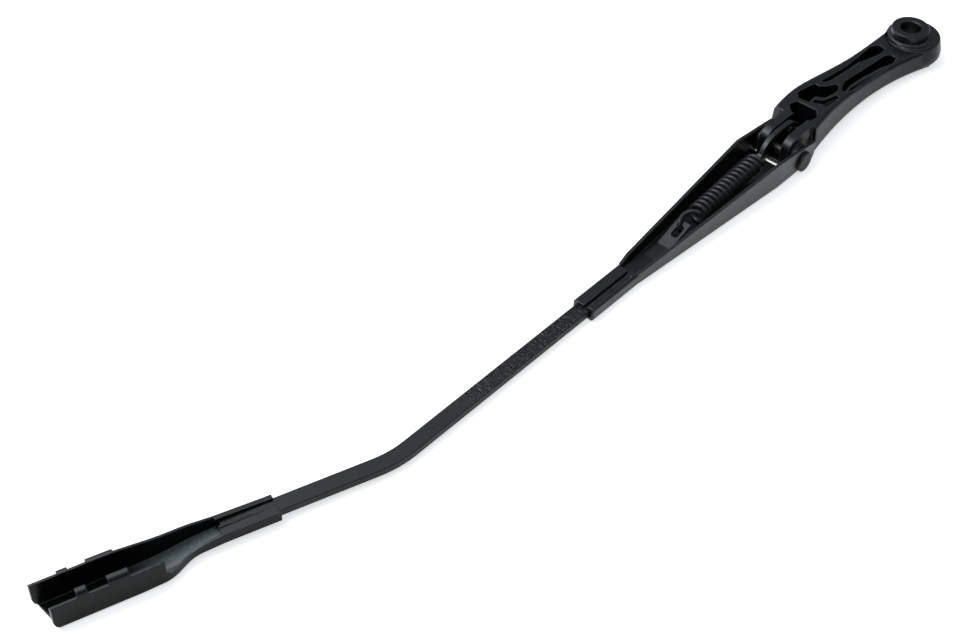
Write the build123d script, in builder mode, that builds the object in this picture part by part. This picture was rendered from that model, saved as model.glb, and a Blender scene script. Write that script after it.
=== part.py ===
from build123d import *
from math import cos, radians, sin, tan
import os

# Windscreen wiper arm lying on its back, underside up, in millimetres.
# The origin is on the axis of the shaft bore, on the plane that the arm rests on.
# +X runs along the arm to the blade end, +Y is the near side, +Z points out of the underside.

# Hinge between head and channel
pivot_x = 129.5
pivot_z = 6.3
rivet_r = 3.0
rivet_head_r = 5.9
rivet_head_h = 2.0
rivet_edge_r = 0.6
running_fit = 0.05
side_play = 0.3

# Hub of the mounting head, whose rim is set a little off the bore's axis
bore_r = 6.0
bore_chamfer = 0.6
boss_r = 11.1
boss_top = 21.4
boss_edge_r = 0.7
hub_x = -2.0
hub_y = 1.7
hub_r = 17.3
hub_rim_r = 15.6
hub_rim_z = 14.3
hub_belly_z = 6.5
hub_edge_r = 4.5
hub_lip_r = 1.2
moat_depth = 1.6
moat_width = 3.0
nut_recess_r = 11.0
nut_recess_depth = 7.0

# Neck of the mounting head
neck_root_angle = 78.0
shoulder_x = 114.5
shoulder_near = 12.6
shoulder_far = 16.8
waist_x = 78.0
waist_near = 8.6
waist_top = 18.3
crown_x = 92.0
crown_far = 18.8
straight_x = 42.0
straight_far = 14.6
neck_x = 24.0
neck_near = 11.2
neck_far = 14.0
neck_rise = 0.6
neck_draft = 1.2
neck_edge_r = 4.0
neck_rim_r = 2.6
neck_top = 19.6
neck_sole = 1.0
belly_x = 60.0
belly_z = 2.0
pocket_floor = 5.0
ledge_floor = 15.0
gusset_floor = 16.5
pocket_corner_r = 1.0
ledge_corner_r = 0.5
chamber_clear = 1.6
chamber_mouth = 6.0

# Prongs of the mounting head
prong_gap = 9.5
prong_width = 5.2
prong_root_x = 112.5
prong_front_x = 130.0
prong_front_r = 7.5
prong_clear_r = 9.0
prong_heel_angle = -25.0
prong_foot = 6.2
prong_bottom = 0.6
prong_boss_r = 7.0
prong_boss_lift = 1.6
web_thick = 2.2
web_lap = 0.5
web_end_x = 135.3
bush_wall = 1.2
bush_flange_r = 6.5
bush_flange_h = 0.8

# Spring link and its pin
link_pin_x = 118.5
link_pin_z = 14.5
link_pin_r = 2.0
link_thick = 2.6
link_width = 2.8
link_eye_r = 4.0
link_hook_x = 149.0
link_hook_r = 2.7
link_crest_z = 21.4
link_lead_in = (0.4, 1)
link_lead_out = (0.5, -1)

# Retainer channel, folded from one sheet
sheet = 1.8
ear_half = 15.3
ear_end_x = 118.3
ear_top_z = 13.4
ear_tip_r = 1.8
ear_foot_r = 7.5
peak_x = 151.0
peak_z = 17.3
flare_x = 256.0
flare_half = 7.7
flare_z = 8.2
crimp_x = 264.0
crimp_end_x = 300.0
crimp_slit_far = 0.7
crimp_slit_near = 2.6
crimp_swell = 1.0
crimp_lip_r = 1.4
crimp_groove_width = 1.5
crimp_groove_depth = 0.5
crimp_groove_end = 3.5
back_edge_x = 138.0
tongue_lead = 5.3
tongue_gap = 0.5
fold_r = 2.1

# Flat bar and its flattened inner end
bar_width = 8.6
bar_thick = 4.0
bar_edge_r = 0.5
bend_x = 435.0
bend_angle = 18.7
bend_r = 60.0
tip_rise = 1.1
bar_tip = 86.3
tail_thick = 1.6
tail_bend_x = 234.0
tail_end_x = 216.5
tail_angle = 18.0
tail_ramp = 18.0
tail_slot_width = 4.4
tail_slot_length = 7.5
tail_slot_r = 1.7
tail_slot_land = 3.0
tail_slot_shift = 0.6

# Blade holder, folded from thinner sheet; u runs along the bar past its bend
holder_sheet = 1.2
holder_crimp_u = 60.0
holder_open_u = 88.0
holder_jog_gap = 10.0
holder_jog_length = 21.0
holder_ramp_length = 40.0
holder_far = 4.3
holder_near = 12.8
holder_end_far = 173.0
holder_end_near = 168.5
holder_end_r = 5.0
holder_top = 14.9
holder_fold_r = 1.5
holder_ramp_r = 60.0
holder_split = 2.0
holder_slit_far = -3.0
holder_slit_near = 0.9
far_lip_length = 4.0
far_lip_rise = 0.8
far_rise_u = 135.0
low_wall_lead = 2.0
low_wall_z = 5.3
low_wall_run = 13.0
low_wall_drop = 1.0
low_wall_r = 1.5
tab_reach = 3.4
tab_proud = 2.4
tab_root = 2.0
tab_fold_r = 1.4
tab_thinning = 0.1
near_tabs = [(132.9, 142.4), (151.7, 156.5)]
far_tabs = [(135.2, 147.4), (155.5, 160.3)]

# Tension spring
wire = 2.3
coil_outer_r = 5.6
coil_turns = 14.25
coil_front_x = 205.0
hook_gap = 0.1
loop_lead = 0.4
eye_gap = 0.35
front_hook_turn = 135.0
knuckle_r = 1.3

# Values that follow from the sizes above
bar_half = bar_width / 2
bar_bottom = sheet
bar_top = sheet + bar_thick
crimp_top = bar_top + sheet
crimp_half = bar_half + sheet
crimp_width = 2 * crimp_half + crimp_swell
ear_inner = ear_half - sheet
bush_r = rivet_r + running_fit + bush_wall
bush_end = ear_inner - side_play
prong_inner = prong_gap / 2
prong_outer = prong_inner + prong_width
prong_boss_end = bush_end - bush_flange_h
tongue_end_x = pivot_x + tongue_lead
tongue_inner = prong_outer + tongue_gap
holder_jog_u = holder_open_u + holder_jog_gap
holder_end_slant = (holder_end_near - holder_end_far) / (holder_near + holder_far)
holder_end_u = holder_end_far + holder_far * holder_end_slant
holder_wide_u = holder_jog_u + holder_jog_length
holder_ramp_u = holder_open_u + holder_ramp_length
low_wall_u = holder_wide_u - low_wall_lead
reach = 40.0
trim = 1.0

# Directions of the bar past its bend, and the plane that the blade holder is built in
bar_run = Vector(1, 0, 0)
tip_run = Vector(cos(radians(bend_angle)), -sin(radians(bend_angle)), tan(radians(tip_rise))).normalized()
bend_axis = Axis((0, 0, 0), bar_run.cross(tip_run))
tip_up = Vector(0, 0, 1).rotate(bend_axis, bar_run.get_angle(tip_run))
tip_near = tip_up.cross(tip_run)
bend_point = Vector(bend_x, 0, bar_bottom + bar_thick / 2) - tip_up * (bar_thick / 2)
tip_plane = Plane(origin=bend_point, x_dir=tip_run, z_dir=tip_up)
tip_side = Plane(origin=bend_point, x_dir=tip_run, z_dir=tip_run.cross(tip_up))

# Line of pull of the spring, from the slot in the bar's tail to the link's pin
slot_x = tail_end_x + tail_slot_land + wire / 2 + hook_gap
slot_z = bar_bottom + tail_thick / 2 + (tail_bend_x - slot_x) * tan(radians(tail_angle))
spring_run = Vector(link_pin_x - slot_x, 0, link_pin_z - slot_z).normalized()
hook_z = slot_z + (link_hook_x - slot_x) * spring_run.Z / spring_run.X
coil_r = coil_outer_r - wire / 2
coil_start = (coil_front_x - slot_x) / spring_run.X
hook_reach = (link_hook_x - slot_x) / spring_run.X
coil_length = hook_reach - coil_r - loop_lead - coil_start
coil_pitch = coil_length / coil_turns


def spring_point(along):
    """Point on the spring's axis at a distance from the tail's slot."""
    return Vector(slot_x, 0, slot_z) + spring_run * along


def tip_height(u, z):
    """Height above the bar's lower face, in the holder's own plane, of a level z at distance u."""
    return z - bar_bottom - u * tan(radians(tip_rise))


def ring_point(angle, radius):
    """Point on a circle about the hinge, in the side view."""
    return (pivot_x + radius * cos(radians(angle)), pivot_z + radius * sin(radians(angle)))


def runs_along(edge):
    """True for an edge that runs mainly along the arm."""
    return abs(edge.tangent_at(0.5).X) > 0.5


# Mounting head: hub, neck with pockets, prongs
def neck_outline(grow):
    """Neck's outline in plan, widened by the draft at its level."""
    near_root = (hub_x + hub_rim_r * cos(radians(neck_root_angle)),
                 hub_y + hub_rim_r * sin(radians(neck_root_angle)) + grow)
    far_root = (hub_x, hub_y - hub_rim_r - grow)
    near_end = (shoulder_x, shoulder_near + grow)
    far_end = (shoulder_x, -shoulder_far - grow)
    with BuildSketch() as outline:
        with BuildLine():
            Spline(near_root, (neck_x, neck_near + grow), (waist_x, waist_near + grow), near_end)
            Line(near_end, far_end)
            Spline(far_end, (crown_x, -crown_far - grow), (straight_x, -straight_far - grow),
                   (neck_x, -neck_far - grow), far_root)
            Line(far_root, near_root)
        make_face()
    return outline.sketch


def pocket(points, corner_r):
    """Outline of a pocket in the neck's open side, with rounded corners."""
    with BuildSketch() as outline:
        with BuildLine():
            Polyline(*points, close=True)
        make_face()
        fillet(outline.vertices(), corner_r)
    return outline.sketch


far_slot = [(24.0, -11.0), (19.2, -8.2), (20.6, -3.2), (27.0, -2.7), (44.0, -6.9), (71.0, -7.6),
            (77.6, -10.0), (75.0, -11.2), (52.0, -9.7)]
near_slot = [(26.4, 0.2), (22.9, 2.6), (23.6, 6.6), (29.5, 7.8), (39.4, 5.2), (56.0, 3.2), (68.0, 3.0),
             (74.4, 4.6), (76.4, 3.8), (73.0, 1.0), (65.9, -1.7), (58.0, -1.4)]
near_ledge = [(33.0, 7.0), (33.6, 8.6), (44.0, 8.3), (70.0, 6.5), (74.4, 5.6), (69.9, 4.5), (57.9, 4.8)]
wavy_pocket = [(95.6, -13.9), (80.8, -12.2), (80.9, -8.6), (78.0, -6.0), (70.9, -3.1), (74.3, 0.0),
               (78.7, 1.5), (88.7, 0.7), (92.2, -4.2), (99.1, -3.8), (99.6, -10.5)]
gusset_pocket = [(97.8, -2.6), (93.8, -2.8), (91.9, 1.4), (82.2, 3.2), (81.8, 5.8), (88.8, 6.4), (95.6, 6.4)]
mouth_x = shoulder_x + chamber_mouth
mouth_half = prong_inner + chamber_clear
chamber = [(102.4, -9.2), (102.2, 3.2), (107.0, 7.4), (prong_root_x, mouth_half), (mouth_x, mouth_half),
           (mouth_x, -mouth_half), (prong_root_x, -mouth_half), (107.6, -11.2)]

with BuildPart() as mounting_head:
    with BuildSketch(Plane.XY):
        add(neck_outline(neck_draft))
    with BuildSketch(Plane.XY.offset(neck_top + trim)):
        add(neck_outline(-neck_draft / 2))
    loft(ruled=True)
    with BuildSketch(Plane.XZ.offset(-reach)):
        with BuildLine():
            rim = Spline((-reach, hub_rim_z), (neck_x, hub_rim_z + neck_rise), (waist_x, waist_top),
                         (crown_x, neck_top), (shoulder_x + trim, neck_top), tangents=[(1, 0), (1, 0)])
            Polyline(rim @ 1, (shoulder_x + trim, reach), (-reach, reach), rim @ 0)
        make_face()
    extrude(amount=2 * reach, mode=Mode.SUBTRACT)
    with BuildSketch(Plane.XZ.offset(-reach)):
        with BuildLine():
            belly = Spline((hub_x, 0), (neck_x, neck_sole), (belly_x, belly_z),
                           (shoulder_x + trim, prong_bottom))
            Polyline(belly @ 1, (shoulder_x + trim, -reach), (hub_x, -reach), belly @ 0)
        make_face()
    extrude(amount=2 * reach, mode=Mode.SUBTRACT)
    fillet(mounting_head.faces().sort_by(Axis.Z)[0].edges().filter_by(runs_along), neck_edge_r)
    fillet(mounting_head.faces().sort_by(Axis.Z)[-1].edges().filter_by(runs_along), neck_rim_r)
    with BuildSketch(Plane.XZ.move(Location((hub_x, hub_y, 0)))) as hub_profile:
        with BuildLine():
            Polyline((0, 0), (hub_r, 0), (hub_r, hub_belly_z), (hub_rim_r, hub_rim_z), (0, hub_rim_z),
                     close=True)
        make_face()
        fillet(hub_profile.vertices().group_by(Axis.Y)[0].sort_by(Axis.X)[-1], hub_edge_r)
        fillet(hub_profile.vertices().group_by(Axis.Y)[-1].sort_by(Axis.X)[-1], hub_lip_r)
    revolve(axis=Axis((hub_x, hub_y, 0), (0, 0, 1)))
    with BuildSketch(Plane.XZ):
        with Locations((boss_r + moat_width / 2, hub_rim_z)):
            Ellipse(moat_width / 2, moat_depth)
    revolve(axis=Axis.Z, mode=Mode.SUBTRACT)
    with BuildSketch(Plane.XZ) as boss_profile:
        with BuildLine():
            Polyline((0, hub_belly_z), (boss_r, hub_belly_z), (boss_r, boss_top), (0, boss_top), close=True)
        make_face()
        fillet(boss_profile.vertices().group_by(Axis.Y)[-1].sort_by(Axis.X)[-1], boss_edge_r)
    revolve(axis=Axis.Z)
    with BuildSketch(Plane.XY.offset(pocket_floor)):
        for points in (far_slot, near_slot, wavy_pocket):
            add(pocket(points, pocket_corner_r))
    extrude(amount=reach, mode=Mode.SUBTRACT)
    with BuildSketch(Plane.XY.offset(ledge_floor)):
        add(pocket(near_ledge, ledge_corner_r))
    extrude(amount=reach, mode=Mode.SUBTRACT)
    with BuildSketch(Plane.XY.offset(gusset_floor)):
        add(pocket(gusset_pocket, pocket_corner_r))
    extrude(amount=reach, mode=Mode.SUBTRACT)
    with BuildSketch(Plane.XY.offset(prong_bottom + web_thick)):
        add(pocket(chamber, pocket_corner_r))
    extrude(amount=reach, mode=Mode.SUBTRACT)
    for side in (-1, 1):
        with BuildSketch(Plane.XZ.offset(-side * (prong_inner + prong_width / 2))):
            with BuildLine():
                Polyline((prong_root_x, prong_bottom), (prong_root_x, neck_top), (prong_front_x, neck_top))
                CenterArc((prong_front_x, neck_top - prong_front_r), prong_front_r, 0, 90)
                Polyline((prong_front_x + prong_front_r, neck_top - prong_front_r),
                         ring_point(prong_heel_angle, prong_clear_r),
                         (pivot_x + prong_foot, prong_bottom), (prong_root_x, prong_bottom))
            make_face()
        extrude(amount=prong_width / 2, both=True)
        with BuildSketch(Plane.XZ.offset(-side * prong_outer)):
            with Locations((pivot_x, pivot_z + prong_boss_lift)):
                Circle(prong_boss_r)
        extrude(amount=-side * (prong_boss_end - prong_outer))
    with BuildSketch(Plane.XY.offset(prong_bottom)):
        with Locations(((prong_root_x + web_end_x) / 2, 0)):
            Rectangle(web_end_x - prong_root_x, prong_gap + 2 * web_lap)
    extrude(amount=web_thick)
    with BuildSketch(Plane.XZ):
        with Locations((pivot_x, pivot_z)):
            Circle(bush_r)
        with Locations((link_pin_x, link_pin_z)):
            Circle(link_pin_r)
    extrude(amount=reach, both=True, mode=Mode.SUBTRACT)
    with BuildSketch(Plane.XY):
        Circle(bore_r)
    extrude(amount=boss_top, mode=Mode.SUBTRACT)
    with BuildSketch(Plane.XY):
        Circle(nut_recess_r)
    extrude(amount=nut_recess_depth, mode=Mode.SUBTRACT)
    boss_rings = mounting_head.edges().filter_by(GeomType.CIRCLE).group_by(Axis.Z)[-1]
    chamfer(boss_rings.sort_by(SortBy.RADIUS)[0], bore_chamfer)

mounting_head.part.label = "mounting_head"


# Flanged bushes that the rivet turns in
def pivot_bush(side):
    """Sleeve through one prong with a flange that keeps the ear off the casting."""
    with BuildPart() as bush:
        with BuildSketch(Plane.XZ.offset(-side * prong_inner)):
            with Locations((pivot_x, pivot_z)):
                Circle(bush_r)
                Circle(rivet_r + running_fit, mode=Mode.SUBTRACT)
        extrude(amount=-side * (bush_end - prong_inner))
        with BuildSketch(Plane.XZ.offset(-side * prong_boss_end)):
            with Locations((pivot_x, pivot_z)):
                Circle(bush_flange_r)
                Circle(rivet_r + running_fit, mode=Mode.SUBTRACT)
        extrude(amount=-side * bush_flange_h)
    return bush


pivot_bush_near = pivot_bush(1)
pivot_bush_near.part.label = "pivot_bush_near"
pivot_bush_far = pivot_bush(-1)
pivot_bush_far.part.label = "pivot_bush_far"

# Pin across the prongs that carries the spring link
with BuildPart() as link_pin:
    with BuildSketch(Plane.XZ):
        with Locations((link_pin_x, link_pin_z)):
            Circle(link_pin_r)
    extrude(amount=prong_outer, both=True)

link_pin.part.label = "link_pin"


# Retainer channel: tapered U with two ears, crimped round the bar
def channel_plan(inset, start_x, end_x):
    """Channel's outline in plan, drawn in from the outer faces by inset."""
    ear = ear_half - inset
    flare = flare_half - inset
    lip_far = crimp_half - inset
    lip_near = lip_far + crimp_swell
    with BuildSketch() as outline:
        with BuildLine():
            Polyline((start_x, ear), (peak_x, ear), (flare_x, flare), (crimp_x, lip_near), (end_x, lip_near),
                     (end_x, -lip_far), (crimp_x, -lip_far), (flare_x, -flare), (peak_x, -ear),
                     (start_x, -ear), close=True)
        make_face()
    return outline.sketch


def long_floor_edges(block):
    """Lower edges that run along the channel's two sides, where the sheet is folded up."""
    return block.faces().sort_by(Axis.Z)[0].edges().filter_by(runs_along)


with BuildPart() as channel_hollow:
    with BuildSketch(Plane.XY.offset(sheet)):
        add(channel_plan(sheet, pivot_x - reach, crimp_x + trim))
    extrude(amount=reach)
    fillet(long_floor_edges(channel_hollow), fold_r - sheet)

with BuildPart() as retainer_channel:
    with BuildSketch(Plane.XY):
        add(channel_plan(0, pivot_x - reach, crimp_end_x))
    extrude(amount=reach)
    fillet(long_floor_edges(retainer_channel), fold_r)
    with BuildSketch(Plane.XZ) as side_view:
        with BuildLine():
            Polyline((ear_end_x, 0), (crimp_end_x, 0), (crimp_end_x, crimp_top), (crimp_x, crimp_top),
                     (flare_x, flare_z), (peak_x, peak_z), (ear_end_x, ear_top_z), close=True)
        make_face()
        ear_corners = side_view.vertices().group_by(Axis.X)[0].sort_by(Axis.Y)
        fillet(ear_corners[0], ear_foot_r)
        fillet(ear_corners[1], ear_tip_r)
    extrude(amount=reach, both=True, mode=Mode.INTERSECT)
    with BuildSketch(Plane.YZ.offset(crimp_x)):
        with Locations((crimp_swell / 2, crimp_top)):
            Rectangle(crimp_width + 2 * trim, 2 * crimp_lip_r)
        with Locations((crimp_swell / 2, 0)):
            RectangleRounded(crimp_width, 2 * crimp_top, crimp_lip_r, mode=Mode.SUBTRACT)
    extrude(amount=crimp_end_x - crimp_x, mode=Mode.SUBTRACT)
    add(channel_hollow.part, mode=Mode.SUBTRACT)
    with BuildSketch(Plane.XY.offset(-trim)):
        with Locations(((back_edge_x + pivot_x - reach) / 2, 0)):
            Rectangle(back_edge_x - pivot_x + reach, 2 * tongue_inner)
        with Locations(((tongue_end_x + pivot_x - reach) / 2, 0)):
            Rectangle(tongue_end_x - pivot_x + reach, 2 * ear_inner)
    extrude(amount=reach, mode=Mode.SUBTRACT)
    with BuildSketch(Plane.YZ.offset(crimp_x)):
        with Locations((crimp_swell / 2, bar_bottom + bar_thick / 2)):
            RectangleRounded(bar_width + crimp_swell, bar_thick, bar_edge_r)
        with Locations(((crimp_slit_far + crimp_slit_near) / 2, crimp_top)):
            Rectangle(crimp_slit_near - crimp_slit_far, 2 * sheet + bar_thick)
    extrude(amount=crimp_end_x - crimp_x, mode=Mode.SUBTRACT)
    with BuildSketch(Plane.XY.offset(crimp_top - crimp_groove_depth)):
        with Locations(((crimp_x + crimp_end_x) / 2, (crimp_slit_near + crimp_half) / 2)):
            SlotOverall(crimp_end_x - crimp_x - 2 * crimp_groove_end, crimp_groove_width)
    extrude(amount=sheet, mode=Mode.SUBTRACT)
    with BuildSketch(Plane.XZ):
        with Locations((pivot_x, pivot_z)):
            Circle(rivet_r)
    extrude(amount=reach, both=True, mode=Mode.SUBTRACT)

retainer_channel.part.label = "retainer_channel"

# Rivet through both ears
with BuildPart() as pivot_rivet:
    with BuildSketch(Plane.XZ):
        with Locations((pivot_x, pivot_z)):
            Circle(rivet_r)
    extrude(amount=ear_half, both=True)
    for side in (-1, 1):
        with BuildSketch(Plane.XZ.offset(-side * ear_half)):
            with Locations((pivot_x, pivot_z)):
                Circle(rivet_head_r)
        extrude(amount=-side * rivet_head_h)
        rivet_ends = pivot_rivet.edges().filter_by(GeomType.CIRCLE).sort_by(Axis.Y)
        fillet(rivet_ends[-1 if side > 0 else 0], rivet_edge_r)

pivot_rivet.part.label = "pivot_rivet"

# Flat bar: straight run, sideways bend, and the flattened tail that the spring hooks into
with BuildPart() as arm_bar:
    with BuildLine():
        FilletPolyline((crimp_x, 0, bar_bottom + bar_thick / 2), (bend_x, 0, bar_bottom + bar_thick / 2),
                       Vector(bend_x, 0, bar_bottom + bar_thick / 2) + tip_run * bar_tip, radius=bend_r)
    with BuildSketch(Plane.YZ.offset(crimp_x)):
        with Locations((0, bar_bottom + bar_thick / 2)):
            RectangleRounded(bar_width, bar_thick, bar_edge_r)
    sweep()
    with BuildSketch(Plane.XZ):
        with BuildLine():
            lift = (tail_bend_x - tail_end_x) * tan(radians(tail_angle))
            Polyline((crimp_x, bar_bottom), (tail_bend_x, bar_bottom), (tail_end_x, bar_bottom + lift),
                     (tail_end_x, bar_bottom + lift + tail_thick), (tail_bend_x, bar_bottom + tail_thick),
                     (crimp_x - tail_ramp, bar_bottom + tail_thick), (crimp_x, bar_top), close=True)
        make_face()
    extrude(amount=bar_half, both=True)
    with BuildSketch(Plane.XY):
        with Locations((tail_end_x + tail_slot_land + tail_slot_length / 2, tail_slot_shift)):
            RectangleRounded(tail_slot_length, tail_slot_width, tail_slot_r)
    extrude(amount=reach, mode=Mode.SUBTRACT)

arm_bar.part.label = "arm_bar"


# Blade holder: crimp round the bar that opens into a wider channel for the blade
def holder_plan(inset, start_u, end_u):
    """Holder's outline in plan with its sideways jog, drawn in from the outer faces by inset."""
    lip_far = bar_half + holder_sheet - inset
    lip_near = lip_far + crimp_swell
    near = holder_near - inset
    far = holder_far - inset
    with BuildSketch() as outline:
        with BuildLine():
            Line((end_u, near), (holder_wide_u, near))
            Spline((holder_wide_u, near), (holder_jog_u, lip_near), tangents=[(-1, 0), (-1, 0)])
            Polyline((holder_jog_u, lip_near), (start_u, lip_near), (start_u, -lip_far),
                     (holder_jog_u, -lip_far))
            Spline((holder_jog_u, -lip_far), (holder_wide_u, -far), tangents=[(1, 0), (1, 0)])
            Polyline((holder_wide_u, -far), (end_u, -far), (end_u, near))
        make_face()
    return outline.sketch


def holder_side(rise):
    """Region above the holder's floor in the side view, the floor raised by rise."""
    start_u = holder_crimp_u - reach
    end_u = holder_end_u + reach
    with BuildSketch() as region:
        with BuildLine():
            FilletPolyline((start_u, rise - holder_sheet), (holder_open_u, rise - holder_sheet),
                           (holder_ramp_u, rise + tip_height(holder_ramp_u, 0)),
                           (end_u, rise + tip_height(end_u, 0)), radius=holder_ramp_r)
            Polyline((end_u, rise + tip_height(end_u, 0)), (end_u, reach), (start_u, reach),
                     (start_u, rise - holder_sheet))
        make_face()
    return region.sketch


def holder_folds(block):
    """Long lower edges of a holder block, where the sheet is folded up into the walls."""
    floor = block.faces().filter_by(lambda f: f.normal_at().dot(tip_up) < -0.9)
    return floor.edges().filter_by(lambda e: abs(e.tangent_at(0.5).dot(tip_run)) > 0.5)


with BuildPart() as holder_hollow:
    with BuildSketch(tip_plane.offset(-reach)):
        add(holder_plan(holder_sheet, holder_open_u, holder_end_u + reach / 2))
    extrude(amount=2 * reach)
    with BuildSketch(tip_side):
        add(holder_side(holder_sheet))
    extrude(amount=reach, both=True, mode=Mode.INTERSECT)
    fillet(holder_folds(holder_hollow), holder_fold_r - holder_sheet)

with BuildPart() as blade_holder:
    with BuildSketch(tip_plane.offset(-reach)):
        add(holder_plan(0, holder_crimp_u, holder_end_u + reach / 2))
    extrude(amount=2 * reach)
    with BuildSketch(tip_side):
        add(holder_side(0))
    extrude(amount=reach, both=True, mode=Mode.INTERSECT)
    fillet(holder_folds(blade_holder), holder_fold_r)
    add(holder_hollow.part, mode=Mode.SUBTRACT)
    crimp_lid = bar_thick + holder_sheet
    cut_start = holder_crimp_u - trim
    cut_end = holder_end_u + reach
    rim_end = tip_height(cut_end, holder_top)
    low_wall_start = low_wall_u - low_wall_run
    with BuildSketch(tip_side.offset(-holder_split)) as near_rim_cut:
        with BuildLine():
            Polyline((cut_start, crimp_lid), (holder_open_u, crimp_lid),
                     (low_wall_start, tip_height(low_wall_start, low_wall_z + low_wall_drop)),
                     (low_wall_u, tip_height(low_wall_u, low_wall_z)),
                     (low_wall_u, tip_height(low_wall_u, holder_top)),
                     (cut_end, rim_end), (cut_end, reach), (cut_start, reach), close=True)
        make_face()
        wall_step = near_rim_cut.vertices().filter_by_position(Axis.X, low_wall_u - trim, low_wall_u + trim)
        fillet(wall_step, low_wall_r)
    extrude(amount=-reach, mode=Mode.SUBTRACT)
    with BuildSketch(tip_side.offset(-holder_split)):
        with BuildLine():
            Polyline((cut_start, crimp_lid), (holder_crimp_u + far_lip_length, crimp_lid),
                     (holder_open_u, crimp_lid + far_lip_rise),
                     (far_rise_u, tip_height(far_rise_u, holder_top)),
                     (cut_end, rim_end), (cut_end, reach), (cut_start, reach), close=True)
        make_face()
    extrude(amount=reach, mode=Mode.SUBTRACT)
    end_round_u = holder_end_u - holder_end_r
    end_round_h = tip_height(end_round_u, 0) + holder_end_r
    with BuildSketch(tip_side):
        with BuildLine():
            CenterArc((end_round_u, end_round_h), holder_end_r, -90, 90)
            Polyline((holder_end_u, end_round_h), (holder_end_u, reach), (cut_end, reach), (cut_end, -reach),
                     (end_round_u, -reach), (end_round_u, end_round_h - holder_end_r))
        make_face()
    extrude(amount=reach, dir=tip_near + tip_run * holder_end_slant, both=True, mode=Mode.SUBTRACT)
    with BuildSketch(Plane(origin=bend_point + tip_run * holder_crimp_u, x_dir=tip_near, z_dir=tip_run)):
        with Locations((crimp_swell / 2, bar_thick / 2)):
            RectangleRounded(bar_width + crimp_swell, bar_thick, bar_edge_r)
        with Locations(((holder_slit_far + holder_slit_near) / 2, crimp_lid)):
            Rectangle(holder_slit_near - holder_slit_far, 2 * holder_sheet + bar_thick)
    extrude(amount=holder_open_u - holder_crimp_u, mode=Mode.SUBTRACT)
    for wall, inward, tabs in ((holder_near, -1, near_tabs), (-holder_far, 1, far_tabs)):
        for start, end in tabs:
            wall_middle = wall + inward * holder_sheet / 2
            tab_base = tip_height((start + end) / 2, holder_top) - tab_root
            tab_crest = tip_height((start + end) / 2, holder_top) + tab_proud
            with BuildSketch(Plane(origin=bend_point + tip_run * start, x_dir=tip_near, z_dir=tip_run)):
                with BuildLine():
                    FilletPolyline((wall_middle, tab_base), (wall_middle, tab_crest),
                                   (wall + inward * tab_reach, tab_crest), radius=tab_fold_r)
                trace(line_width=holder_sheet - tab_thinning)
            extrude(amount=end - start)

blade_holder.part.label = "blade_holder"

# Tension spring: close coils with a hook through the tail's slot and one through the link's eye
spring_top = Vector(0, 1, 0).cross(spring_run)
coil_plane = Plane(origin=spring_point(coil_start), x_dir=spring_top, z_dir=spring_run)
coil_path = coil_plane.location * Helix(coil_pitch, coil_length, coil_r)
front_hook_plane = Plane(origin=spring_point(0), x_dir=spring_run, z_dir=(0, 1, 0))
rear_hook_plane = Plane(origin=spring_point(hook_reach), x_dir=spring_run, z_dir=-spring_top)
rear_knuckle = spring_point(coil_start + coil_length) + Vector(0, coil_r, 0)
with BuildPart() as tension_spring:
    with BuildLine():
        add(coil_path)
    with BuildSketch(Plane(origin=coil_path @ 0, z_dir=coil_path % 0)):
        Circle(wire / 2)
    sweep(is_frenet=True)
    with BuildLine(front_hook_plane):
        front_hook = Line((coil_start, coil_r), (coil_r, coil_r))
        CenterArc((coil_r, 0), coil_r, 90, front_hook_turn)
    with BuildSketch(Plane(origin=front_hook @ 0, z_dir=front_hook % 0)):
        Circle(wire / 2)
    sweep()
    with Locations(front_hook @ 0, rear_knuckle):
        Sphere(knuckle_r)
    with BuildLine(rear_hook_plane):
        rear_hook = Line((coil_start + coil_length - hook_reach, coil_r), (-coil_r, coil_r))
        CenterArc((-coil_r, 0), coil_r, 90, -180)
    with BuildSketch(Plane(origin=rear_hook @ 0, z_dir=rear_hook % 0)):
        Circle(wire / 2)
    sweep()

tension_spring.part.label = "tension_spring"

# Spring link: stamped strip that arches from its pin over the rivet to the spring's hook
with BuildPart() as spring_link:
    with BuildSketch(Plane.XZ):
        with BuildLine():
            Spline((link_pin_x, link_pin_z + link_pin_r), (pivot_x, link_crest_z),
                   (link_hook_x, hook_z + wire / 2), tangents=[link_lead_in, link_lead_out])
        trace(line_width=link_width)
        with Locations((link_pin_x, link_pin_z)):
            Circle(link_eye_r)
            Circle(link_pin_r + running_fit, mode=Mode.SUBTRACT)
        with Locations((link_hook_x, hook_z)):
            Circle(link_hook_r)
            Circle(wire / 2 + eye_gap, mode=Mode.SUBTRACT)
    extrude(amount=link_thick / 2, both=True)

spring_link.part.label = "spring_link"

os.makedirs("parts", exist_ok=True)
export_step(mounting_head.part, "parts/mounting_head.step")
export_step(pivot_bush_near.part, "parts/pivot_bush_near.step")
export_step(pivot_bush_far.part, "parts/pivot_bush_far.step")
export_step(link_pin.part, "parts/link_pin.step")
export_step(retainer_channel.part, "parts/retainer_channel.step")
export_step(pivot_rivet.part, "parts/pivot_rivet.step")
export_step(arm_bar.part, "parts/arm_bar.step")
export_step(blade_holder.part, "parts/blade_holder.step")
export_step(tension_spring.part, "parts/tension_spring.step")
export_step(spring_link.part, "parts/spring_link.step")
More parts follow.
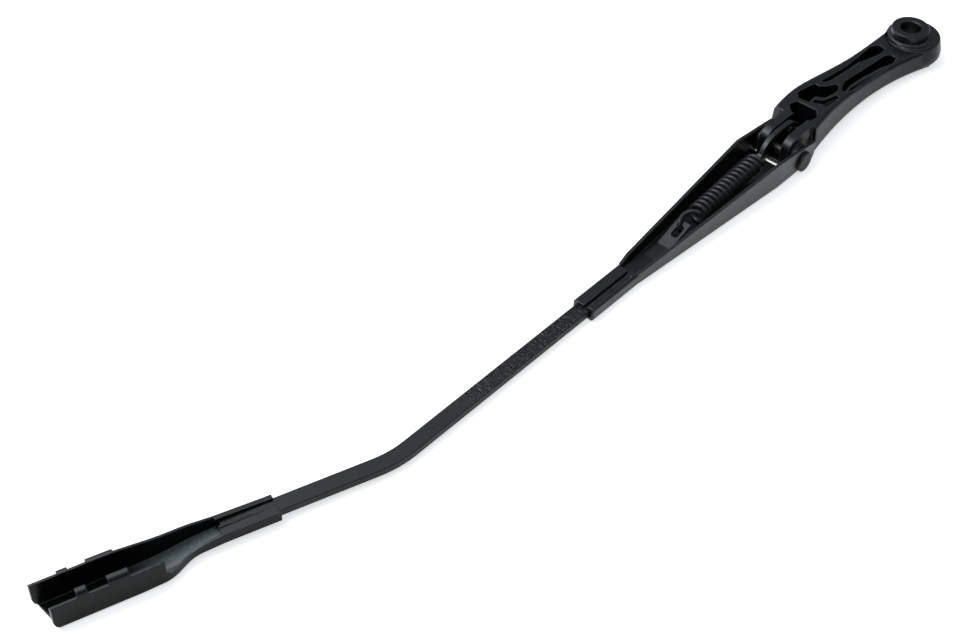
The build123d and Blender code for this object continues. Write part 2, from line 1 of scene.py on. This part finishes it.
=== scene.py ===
import bpy
import math
import numpy as np
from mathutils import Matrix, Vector


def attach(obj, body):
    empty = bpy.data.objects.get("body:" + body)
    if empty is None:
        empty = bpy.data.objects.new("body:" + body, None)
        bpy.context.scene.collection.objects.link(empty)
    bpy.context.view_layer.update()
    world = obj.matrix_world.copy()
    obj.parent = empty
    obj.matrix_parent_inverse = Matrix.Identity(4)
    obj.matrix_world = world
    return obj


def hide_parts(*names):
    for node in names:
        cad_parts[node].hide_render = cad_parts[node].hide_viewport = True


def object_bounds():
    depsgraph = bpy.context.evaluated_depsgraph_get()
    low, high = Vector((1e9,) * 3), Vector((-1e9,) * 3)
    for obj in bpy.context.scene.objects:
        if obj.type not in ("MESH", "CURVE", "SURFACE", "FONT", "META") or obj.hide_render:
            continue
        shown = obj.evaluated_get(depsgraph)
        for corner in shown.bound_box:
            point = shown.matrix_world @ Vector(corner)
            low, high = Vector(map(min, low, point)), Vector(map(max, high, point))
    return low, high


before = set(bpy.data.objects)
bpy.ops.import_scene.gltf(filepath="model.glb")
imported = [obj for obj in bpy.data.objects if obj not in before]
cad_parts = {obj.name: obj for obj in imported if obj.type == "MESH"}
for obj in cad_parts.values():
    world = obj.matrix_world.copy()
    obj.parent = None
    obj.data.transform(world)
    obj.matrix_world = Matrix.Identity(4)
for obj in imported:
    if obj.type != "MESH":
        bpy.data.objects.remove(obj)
cad_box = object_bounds()

# Floor and studio: a plain white sheet in a dim room, under a large and a small soft box on the far side.
# The sheet is matt card. Cameras and mirror-like reflections also see a white glow in it,
# which lifts it to a white background and pales the shadows, and sheds no light on matt surfaces.
room_low_colour = (0.095, 0.10, 0.105, 1)
room_high_colour = (0.57, 0.625, 0.66, 1)
scene = bpy.context.scene
scene.view_settings.view_transform = "Standard"
room = bpy.data.worlds.new("room")
room.use_nodes = True
room_nodes = room.node_tree.nodes
room_links = room.node_tree.links
room_way = room_nodes.new("ShaderNodeTexCoord")
room_height = room_nodes.new("ShaderNodeSeparateXYZ")
room_links.new(room_way.outputs["Generated"], room_height.inputs["Vector"])
room_tone = room_nodes.new("ShaderNodeValToRGB")
room_tone.color_ramp.elements[0].position = 0.3
room_tone.color_ramp.elements[0].color = room_low_colour
room_tone.color_ramp.elements[1].position = 0.95
room_tone.color_ramp.elements[1].color = room_high_colour
room_links.new(room_height.outputs["Z"], room_tone.inputs["Fac"])
room_links.new(room_tone.outputs["Color"], room_nodes["Background"].inputs["Color"])
scene.world = room


def soft_light(name, place, target, width, depth, power, tint):
    """Rectangular lamp that stands at a place and is turned to shine at the target."""
    lamp_data = bpy.data.lights.new(name, "AREA")
    lamp_data.shape = "RECTANGLE"
    lamp_data.size = width
    lamp_data.size_y = depth
    lamp_data.energy = power
    lamp_data.color = tint
    lamp = bpy.data.objects.new(name, lamp_data)
    lamp.location = place
    lamp.rotation_euler = (target - place).to_track_quat("-Z", "Y").to_euler()
    scene.collection.objects.link(lamp)


arm_middle = Vector((0.28, -0.01, 0.01))
hinge_middle = Vector((0.13, 0.0, 0.01))
soft_light("soft_box", Vector((0.58, -0.62, 1.15)), arm_middle, 1.5, 1.2, 8.5, (0.94, 0.98, 1.0))
soft_light("small_box", Vector((0.75, -0.52, 1.03)), hinge_middle, 0.4, 0.4, 5.0, (0.9, 0.97, 1.0))

floor_half = 3.0
floor_gap = 0.0002
floor_glow = 0.62
floor_colour = (0.94, 0.94, 0.94, 1)
floor_z = cad_box[0][2] - floor_gap
floor_corners = [
    (-floor_half, -floor_half, floor_z),
    (floor_half, -floor_half, floor_z),
    (floor_half, floor_half, floor_z),
    (-floor_half, floor_half, floor_z),
]
floor_mesh = bpy.data.meshes.new("floor")
floor_mesh.from_pydata(floor_corners, [], [(0, 1, 2, 3)])
floor = bpy.data.objects.new("floor", floor_mesh)
scene.collection.objects.link(floor)
floor_card = bpy.data.materials.new("floor_card")
floor_card.use_nodes = True
floor_nodes = floor_card.node_tree.nodes
floor_links = floor_card.node_tree.links
floor_shader = floor_nodes["Principled BSDF"]
floor_shader.inputs["Base Color"].default_value = floor_colour
floor_shader.inputs["Roughness"].default_value = 1.0
floor_shader.inputs["Specular IOR Level"].default_value = 0.0
floor_path = floor_nodes.new("ShaderNodeLightPath")
floor_mirror = floor_nodes.new("ShaderNodeMath")
floor_mirror.operation = "MAXIMUM"
floor_links.new(floor_path.outputs["Is Glossy Ray"], floor_mirror.inputs[0])
floor_links.new(floor_path.outputs["Is Transmission Ray"], floor_mirror.inputs[1])
floor_seen = floor_nodes.new("ShaderNodeMath")
floor_seen.operation = "MAXIMUM"
floor_links.new(floor_path.outputs["Is Camera Ray"], floor_seen.inputs[0])
floor_links.new(floor_mirror.outputs["Value"], floor_seen.inputs[1])
floor_white = floor_nodes.new("ShaderNodeEmission")
floor_white.inputs["Color"].default_value = (floor_glow, floor_glow, floor_glow, 1)
floor_links.new(floor_seen.outputs["Value"], floor_white.inputs["Strength"])
floor_sum = floor_nodes.new("ShaderNodeAddShader")
floor_links.new(floor_shader.outputs["BSDF"], floor_sum.inputs[0])
floor_links.new(floor_white.outputs["Emission"], floor_sum.inputs[1])
floor_links.new(floor_sum.outputs["Shader"], floor_nodes["Material Output"].inputs["Surface"])
floor_mesh.materials.append(floor_card)

# Camera: the photograph's viewing angle, worked out from the arm's own straight edges.
# It looks down on the arm's open underside from beyond the blade end, on the near side.
camera_pitch = math.radians(44.611)
camera_heading = math.radians(222.479)
camera_place = (0.78843, 0.37691, 0.60317)
camera_data = bpy.data.cameras.new("camera")
camera_data.lens = 63.75
camera_data.sensor_width = 36.0
camera = bpy.data.objects.new("camera", camera_data)
camera_view = Vector((math.cos(camera_pitch) * math.cos(camera_heading),
                      math.cos(camera_pitch) * math.sin(camera_heading), -math.sin(camera_pitch)))
camera.location = camera_place
camera.rotation_euler = camera_view.to_track_quat("-Z", "Y").to_euler()
scene.collection.objects.link(camera)
scene.camera = camera

# Mounting head: the cast arm with its hub, neck pockets and prongs.
# It is die-cast metal under black satin powder paint with a fine orange peel.
# The casting's corners are softened and painted a little paler, partly as rubbed wear and partly as a
# painted highlight along the rims.
cloud_cells = 90.0
wear_and_highlight_cells = 320.0
peel_cells = 1500.0
peel_depth = 0.00005
# Pale corner colour: partly wear, partly a painted highlight on the rounded rims.
worn_and_highlight_colour = (0.11, 0.114, 0.12, 1)
plain_shine = 0.5
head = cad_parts["mounting_head"]


def speckle(paint, place, cells, detail):
    """Noise fixed to the piece, with this many cells in a metre and this many finer layers."""
    noise = paint.node_tree.nodes.new("ShaderNodeTexNoise")
    noise.inputs["Scale"].default_value = cells
    noise.inputs["Detail"].default_value = detail
    paint.node_tree.links.new(place.outputs["Object"], noise.inputs["Vector"])
    return noise


def graded(paint, value, start, full, low=0.0, high=1.0, blend="LINEAR"):
    """Change from low to high while a value goes from start to full, held level outside them."""
    change = paint.node_tree.nodes.new("ShaderNodeMapRange")
    change.interpolation_type = blend
    change.inputs["From Min"].default_value = start
    change.inputs["From Max"].default_value = full
    change.inputs["To Min"].default_value = low
    change.inputs["To Max"].default_value = high
    paint.node_tree.links.new(value, change.inputs["Value"])
    return change.outputs["Result"]


def product(paint, first, second):
    """One value times another."""
    times = paint.node_tree.nodes.new("ShaderNodeMath")
    times.operation = "MULTIPLY"
    paint.node_tree.links.new(first, times.inputs[0])
    paint.node_tree.links.new(second, times.inputs[1])
    return times.outputs["Value"]


def satin_paint(name, dark, pale, sheen, peel, corner, side):
    """Satin coat: cloudy colour, fine peel, uneven sheen, soft corners paler from wear and a painted
    highlight, own shine on upright sides.
    """
    paint = bpy.data.materials.new(name)
    paint.use_nodes = True
    nodes = paint.node_tree.nodes
    links = paint.node_tree.links
    shader = nodes["Principled BSDF"]
    place = nodes.new("ShaderNodeTexCoord")
    cloud = speckle(paint, place, cloud_cells, 5.0)
    cloud.inputs["Roughness"].default_value = 0.6
    tone = nodes.new("ShaderNodeValToRGB")
    tone.color_ramp.elements[0].position = 0.3
    tone.color_ramp.elements[0].color = (*dark, 1)
    tone.color_ramp.elements[1].position = 0.7
    tone.color_ramp.elements[1].color = (*pale, 1)
    links.new(cloud.outputs["Fac"], tone.inputs["Fac"])
    soft = nodes.new("ShaderNodeBevel")
    soft.name = "soft"
    soft.samples = 6
    soft.inputs["Radius"].default_value = corner
    flat = nodes.new("ShaderNodeNewGeometry")
    turn = nodes.new("ShaderNodeVectorMath")
    turn.operation = "DOT_PRODUCT"
    links.new(soft.outputs["Normal"], turn.inputs[0])
    links.new(flat.outputs["Normal"], turn.inputs[1])
    edge = graded(paint, turn.outputs["Value"], 0.995, 0.8)
    # Corners are painted paler: partly rubbed wear, partly a painted highlight where rounded rims would
    # catch the light.
    wear_and_highlight_noise = speckle(paint, place, wear_and_highlight_cells, 3.0)
    wear_and_highlight_patches = graded(paint, wear_and_highlight_noise.outputs["Fac"], 0.35, 0.75, 0.25, 0.9)
    coat = nodes.new("ShaderNodeMix")
    coat.name = "coat"
    coat.data_type = "RGBA"
    coat.inputs["B"].default_value = worn_and_highlight_colour
    links.new(product(paint, edge, wear_and_highlight_patches), coat.inputs["Factor"])
    links.new(tone.outputs["Color"], coat.inputs["A"])
    links.new(coat.outputs["Result"], shader.inputs["Base Color"])
    gloss = graded(paint, wear_and_highlight_noise.outputs["Fac"], 0.25, 0.75, sheen - 0.05, sheen + 0.06)
    links.new(gloss, shader.inputs["Roughness"])
    skin = speckle(paint, place, peel_cells, 2.0)
    bump = nodes.new("ShaderNodeBump")
    bump.name = "peel"
    bump.inputs["Strength"].default_value = peel
    bump.inputs["Distance"].default_value = peel_depth
    links.new(skin.outputs["Fac"], bump.inputs["Height"])
    links.new(soft.outputs["Normal"], bump.inputs["Normal"])
    links.new(bump.outputs["Normal"], shader.inputs["Normal"])
    facing = nodes.new("ShaderNodeSeparateXYZ")
    links.new(place.outputs["Normal"], facing.inputs["Vector"])
    upright = nodes.new("ShaderNodeMath")
    upright.operation = "ABSOLUTE"
    links.new(facing.outputs["Y"], upright.inputs[0])
    shine = graded(paint, upright.outputs["Value"], 0.5, 0.9, plain_shine, side)
    links.new(shine, shader.inputs["Specular IOR Level"])
    return paint


def dress(piece, finish):
    """Gives a piece one finish in place of the one that it came with."""
    piece.data.materials.clear()
    piece.data.materials.append(finish)


head_paint = satin_paint("head_paint", (0.0015, 0.0015, 0.0018), (0.0035, 0.0035, 0.004),
                         sheen=0.38, peel=0.5, corner=0.0012, side=0.2)
dress(head, head_paint)

# Bushes: the two flanged sleeves that the rivet turns in, one through each prong.
# They are moulded in dark grey nylon, a little rougher and paler than the paint.
bush_plastic = satin_paint("bush_plastic", (0.004, 0.004, 0.004), (0.008, 0.008, 0.0078),
                           sheen=0.5, peel=0.7, corner=0.0003, side=plain_shine)
for bush_name in ("pivot_bush_near", "pivot_bush_far"):
    dress(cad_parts[bush_name], bush_plastic)

# Link pin: the plain pin across the prongs that the spring link hangs on.
# It is dark phosphated steel, pressed into the casting at both ends.
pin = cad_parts["link_pin"]
pin_steel = satin_paint("pin_steel", (0.006, 0.006, 0.0062), (0.013, 0.013, 0.0135),
                        sheen=0.4, peel=0.4, corner=0.0003, side=plain_shine)
dress(pin, pin_steel)

# Retainer channel: the long tapered U that hides the spring and grips the bar.
# It is folded from sheet steel under black satin paint, with rounded rims and folds.
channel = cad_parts["retainer_channel"]
channel_paint = satin_paint("channel_paint", (0.0015, 0.0015, 0.0017), (0.0035, 0.0035, 0.0037),
                            sheen=0.38, peel=0.45, corner=0.0009, side=plain_shine)
dress(channel, channel_paint)

# Rivet: the hinge pin through both ears, with a flat round head at each end.
# It is steel, headed cold and painted with the arm.
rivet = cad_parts["pivot_rivet"]
rivet_paint = satin_paint("rivet_paint", (0.002, 0.002, 0.0022), (0.005, 0.005, 0.0055),
                          sheen=0.38, peel=0.5, corner=0.0004, side=0.12)
dress(rivet, rivet_paint)

# Bar: the flat steel that joins the channel to the blade holder, with its flattened tail.
# It is drawn steel under the same paint, which is wrinkled on the stretch next to the channel.
wrinkle_from_x = 0.295
wrinkle_full_x = 0.303
wrinkle_fade_x = 0.36
wrinkle_to_x = 0.405
wrinkle_cells = 420.0
wrinkle_depth = 0.0012
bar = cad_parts["arm_bar"]
bar_paint = satin_paint("bar_paint", (0.002, 0.002, 0.0022), (0.0045, 0.0046, 0.005),
                        sheen=0.35, peel=0.6, corner=0.0005, side=0.2)
bar_nodes = bar_paint.node_tree.nodes
bar_links = bar_paint.node_tree.links
bar_place = bar_nodes.new("ShaderNodeTexCoord")
bar_along = bar_nodes.new("ShaderNodeSeparateXYZ")
bar_links.new(bar_place.outputs["Object"], bar_along.inputs["Vector"])
wrinkle_start = graded(bar_paint, bar_along.outputs["X"], wrinkle_from_x, wrinkle_full_x, blend="SMOOTHSTEP")
wrinkle_end = graded(bar_paint, bar_along.outputs["X"], wrinkle_to_x, wrinkle_fade_x, blend="SMOOTHSTEP")
wrinkle_zone = product(bar_paint, wrinkle_start, wrinkle_end)
wrinkle = speckle(bar_paint, bar_place, wrinkle_cells, 3.0)
wrinkle.inputs["Distortion"].default_value = 1.2
wrinkle_bump = bar_nodes.new("ShaderNodeBump")
wrinkle_bump.inputs["Strength"].default_value = 0.9
wrinkle_bump.inputs["Distance"].default_value = wrinkle_depth
bar_links.new(product(bar_paint, wrinkle.outputs["Fac"], wrinkle_zone), wrinkle_bump.inputs["Height"])
bar_links.new(bar_nodes["soft"].outputs["Normal"], wrinkle_bump.inputs["Normal"])
bar_links.new(wrinkle_bump.outputs["Normal"], bar_nodes["peel"].inputs["Normal"])
dress(bar, bar_paint)

# Blade holder: the folded clip at the tip that the wiper blade slides into.
# It is thin sheet steel under black satin paint, folded round the bar at one end.
# The ramp behind the bar's end has a pale blue-grey painted into its colour, a painted reflection of the
# soft box on its upward face.
ramp_from_x = 0.5165
ramp_full_x = 0.5185
ramp_fade_x = 0.546
ramp_to_x = 0.562
ramp_top_z = 0.0075
ramp_full_z = 0.0065
ramp_near_edge = 0.1466
ramp_near_full = 0.1454
across_way = (0.3206, 0.9472, 0.0)
painted_ramp_highlight_colour = (0.082, 0.098, 0.105, 1)
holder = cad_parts["blade_holder"]
holder_paint = satin_paint("holder_paint", (0.0015, 0.0015, 0.0018), (0.0035, 0.0036, 0.004),
                           sheen=0.26, peel=0.45, corner=0.0008, side=0.12)
holder_nodes = holder_paint.node_tree.nodes
holder_links = holder_paint.node_tree.links
holder_place = holder_nodes.new("ShaderNodeTexCoord")
holder_along = holder_nodes.new("ShaderNodeSeparateXYZ")
holder_links.new(holder_place.outputs["Object"], holder_along.inputs["Vector"])
holder_up = holder_nodes.new("ShaderNodeSeparateXYZ")
holder_links.new(holder_place.outputs["Normal"], holder_up.inputs["Vector"])
holder_across = holder_nodes.new("ShaderNodeVectorMath")
holder_across.operation = "DOT_PRODUCT"
holder_across.inputs[1].default_value = across_way
holder_links.new(holder_place.outputs["Object"], holder_across.inputs[0])
ramp_start = graded(holder_paint, holder_along.outputs["X"], ramp_from_x, ramp_full_x)
ramp_end = graded(holder_paint, holder_along.outputs["X"], ramp_to_x, ramp_fade_x)
ramp_low = graded(holder_paint, holder_along.outputs["Z"], ramp_top_z, ramp_full_z)
ramp_near = graded(holder_paint, holder_across.outputs["Value"], ramp_near_edge, ramp_near_full)
# Painted reflection: the up-facing ramp, kept clear of the near fold, is painted pale blue-grey in place of
# the soft box's light.
painted_ramp_highlight = graded(holder_paint, holder_up.outputs["Z"], 0.9, 0.98)
for ramp_limit in (ramp_start, ramp_end, ramp_low, ramp_near):
    painted_ramp_highlight = product(holder_paint, painted_ramp_highlight, ramp_limit)
painted_ramp_highlight_mix = holder_nodes.new("ShaderNodeMix")
painted_ramp_highlight_mix.data_type = "RGBA"
painted_ramp_highlight_mix.inputs["B"].default_value = painted_ramp_highlight_colour
holder_links.new(painted_ramp_highlight, painted_ramp_highlight_mix.inputs["Factor"])
holder_links.new(holder_nodes["coat"].outputs["Result"], painted_ramp_highlight_mix.inputs["A"])
holder_links.new(painted_ramp_highlight_mix.outputs["Result"], holder_nodes["Principled BSDF"].inputs["Base Color"])
dress(holder, holder_paint)

# Spring: the tension spring that pulls the arm on to the glass, hooked at both ends.
# It is round steel wire with a dark phosphate coat, wound in close coils.
# The front loop leaves the coils on the near side, crosses over the tail and drops through its slot.
wire_r = 0.00115
wire_sides = 16
wire_end_rings = 4
coil_r = 0.00445
coil_front = 0.0140
coil_back = 0.0671
coil_turns = 15
coil_turn_points = 36
coil_early_stop = 0.1
coil_settle_angle = 0.7
hook_reach = 0.07195
hook_steps = 12
lead_steps = 10
lead_step = 0.0012
loop_points = 40
millimetre = 0.001
slot_point = np.array([0.22075, 0.0, 0.0069])
pull_way = np.array([-0.99725, 0.0, 0.07407])
side_way = np.array([0.0, 1.0, 0.0])
pull_top = np.cross(side_way, pull_way)


def smooth_run(points, steps):
    """Catmull-Rom curve: each stretch is a cubic, its end slopes half the gap between the neighbours."""
    keys = np.vstack([2 * points[:1] - points[1:2], points, 2 * points[-1:] - points[-2:-1]])
    share = np.linspace(0.0, 1.0, steps, endpoint=False)
    powers = np.stack([np.ones_like(share), share, share * share, share * share * share], axis=1)
    basis = 0.5 * np.array([[0, 2, 0, 0], [-1, 0, 1, 0], [2, -5, 4, -1], [-1, 3, -3, 1]])
    groups = np.stack([keys[:-3], keys[1:-2], keys[2:-1], keys[3:]], axis=1)
    return np.einsum("sk,kj,njd->nsd", powers, basis, groups).reshape(-1, 3)


def wire_surface(name, path, guide, radius):
    """Round wire: a ring is a path point plus radius times cosine and sine along two square directions."""
    way = np.gradient(path, axis=0)
    way /= np.linalg.norm(way, axis=1, keepdims=True)
    across = guide - way * np.sum(guide * way, axis=1, keepdims=True)
    across /= np.linalg.norm(across, axis=1, keepdims=True)
    over = np.cross(way, across)
    turn = np.linspace(0.0, 2 * math.pi, wire_sides, endpoint=False)[None, :, None]
    spokes = np.cos(turn) * across[:, None] + np.sin(turn) * over[:, None]
    rings = path[:, None] + radius[:, None, None] * spokes
    count = len(path)
    corner = np.arange(count * wire_sides).reshape(count, wire_sides)
    beside = np.roll(corner, -1, axis=1)
    faces = np.stack([corner[:-1], beside[:-1], beside[1:], corner[1:]], axis=-1).reshape(-1, 4)
    mesh = bpy.data.meshes.new(name)
    mesh.from_pydata(rings.reshape(-1, 3), [], faces)
    mesh.polygons.foreach_set("use_smooth", np.ones(len(faces), dtype=bool))
    wire = bpy.data.objects.new(name, mesh)
    scene.collection.objects.link(wire)
    return wire


hook_keys = millimetre * np.array([
    (1.3, -0.3, -3.1), (0.35, -0.35, -1.7), (0.0, -0.4, 0.0), (0.25, -0.6, 1.5), (1.3, -1.2, 3.1),
    (4.5, -2.4, 3.7), (8.0, -2.2, 4.0), (11.2, 0.2, 4.5), (13.1, 3.0, 3.3), (13.9, 4.45, 0.4),
])
front_hook = smooth_run(hook_keys, hook_steps)
coil_turn = np.linspace(0.0, 2 * math.pi * (coil_turns - coil_early_stop), coil_turn_points * coil_turns)
coil_along = coil_front + (coil_back - coil_front) * coil_turn / (2 * math.pi * coil_turns)
coils = np.stack([coil_along, coil_r * np.cos(coil_turn), -coil_r * np.sin(coil_turn)], axis=1)
rear_bend = np.linspace(0.0, math.pi, loop_points)[:, None]
rear_along = hook_reach - coil_r + coil_r * np.sin(rear_bend)
rear_loop = np.hstack([rear_along, coil_r * np.cos(rear_bend), 0 * rear_bend])
lead_point = [[coil_back + lead_step, coil_r, lead_step]]
rear_lead = smooth_run(np.vstack([coils[-1:], lead_point, rear_loop[:1]]), lead_steps)
local_path = np.vstack([front_hook, coils, rear_lead[1:], rear_loop])

hook_side = np.array([[1.0, -1.0, 0.0]])
coil_side = np.array([[1.0, 0.0, 0.0]])
loop_side = np.array([[0.0, 0.0, 1.0]])
hook_guide = np.tile(hook_side, (len(front_hook), 1))
lead_in = np.clip(coil_turn / coil_settle_angle, 0.0, 1.0)[:, None]
coil_guide = lead_in * coil_side + (1 - lead_in) * hook_side
lead_out = np.linspace(0.0, 1.0, len(rear_lead) - 1)[:, None]
rear_guide = (1 - lead_out) * coil_side + lead_out * loop_side
loop_guide = np.tile(loop_side, (len(rear_loop), 1))
local_guide = np.vstack([hook_guide, coil_guide, rear_guide, loop_guide])

spring_axes = np.stack([pull_way, side_way, pull_top])
spring_path = slot_point + local_path @ spring_axes
spring_guide = local_guide @ spring_axes
ring_order = np.arange(len(local_path))
end_ring = np.minimum(ring_order, ring_order[::-1])
wire_round = wire_r * np.sqrt(1 - np.clip(1 - end_ring / wire_end_rings, 0.0, 1.0) ** 2)
spring = wire_surface("spring_wire", spring_path, spring_guide, wire_round)
spring_coating = satin_paint("spring_coating", (0.018, 0.018, 0.018), (0.034, 0.034, 0.036),
                             sheen=0.36, peel=0.4, corner=0.0001, side=plain_shine)
spring.data.materials.append(spring_coating)
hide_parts("tension_spring")
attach(spring, "spring")

# Spring link: the arched strip between the pin and the spring's rear hook.
# It is stamped steel with a dark coat, blacker than the spring's.
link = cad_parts["spring_link"]
link_coating = satin_paint("link_coating", (0.003, 0.003, 0.003), (0.007, 0.007, 0.0075),
                           sheen=0.4, peel=0.4, corner=0.0004, side=plain_shine)
dress(link, link_coating)
